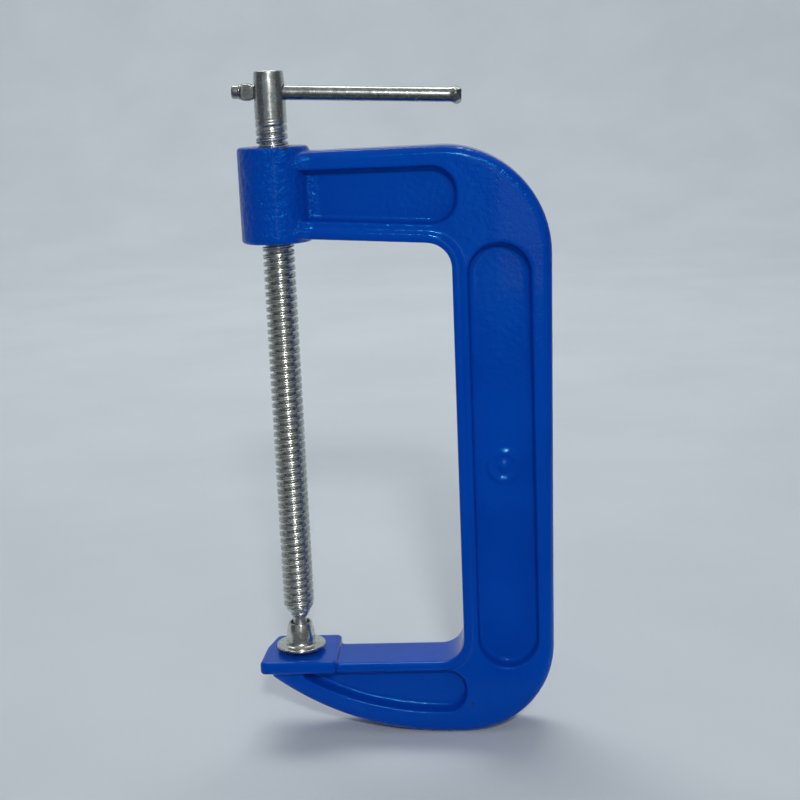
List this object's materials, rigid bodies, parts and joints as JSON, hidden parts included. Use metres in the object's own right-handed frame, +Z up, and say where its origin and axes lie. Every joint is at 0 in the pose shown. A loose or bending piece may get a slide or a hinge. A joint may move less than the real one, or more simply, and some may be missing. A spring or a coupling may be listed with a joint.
{
  "type": "c clamp",
  "caption": "Cast C-frame screw clamp with a threaded boss, a long screw, a sliding tommy bar and a swivel shoe that presses on a flat anvil.",
  "frame": {"origin": "where the screw axis meets the clamping face of the anvil", "axes": "+Z up the screw axis from the anvil to the handle, +X from the screw to the spine of the frame, +Y across the thickness"},
  "size_m": [0.1226, 0.0312, 0.2705],
  "materials": {
    "blue_enamel": "thick glossy stove enamel over a cast surface",
    "zinc_screw": "bright zinc plate on a rolled thread",
    "zinc_bar": "bright zinc plate, lightly scuffed",
    "zinc_shoe": "bright zinc plate, pressed"
  },
  "bodies": {
    "frame": {"frame": "blue_enamel"},
    "jaw": {"ball_end": "zinc_screw"},
    "screw": {"screw": "zinc_screw"},
    "tommy_bar": {"tommy_bar": "zinc_bar"},
    "shoe": {"swivel_shoe": "zinc_shoe"}
  },
  "joints": [
    {"name": "jaw_travel", "type": "slide", "parent": "frame", "child": "jaw", "axis": [0, 0, 1], "range_m": [0, 0.1579]},
    {"name": "screw_turn", "type": "hinge", "parent": "jaw", "child": "screw", "pos_m": [0, 0, 0.1], "axis": [0, 0, 1], "range_deg": [0, 18948]},
    {"name": "bar_slide", "type": "slide", "parent": "screw", "child": "tommy_bar", "axis": [0.9987, 0, -0.0506], "range_m": [-0.0625, 0]},
    {"name": "shoe_tilt", "type": "hinge", "parent": "jaw", "child": "shoe", "pos_m": [0, 0, 0.0071], "axis": [0, 1, 0], "range_deg": [-7.5, 7.5]}
  ],
  "couplings": [
    {"joint": "jaw_travel", "follows": "screw_turn", "m_per_rad": 0.00047746}
  ]
}
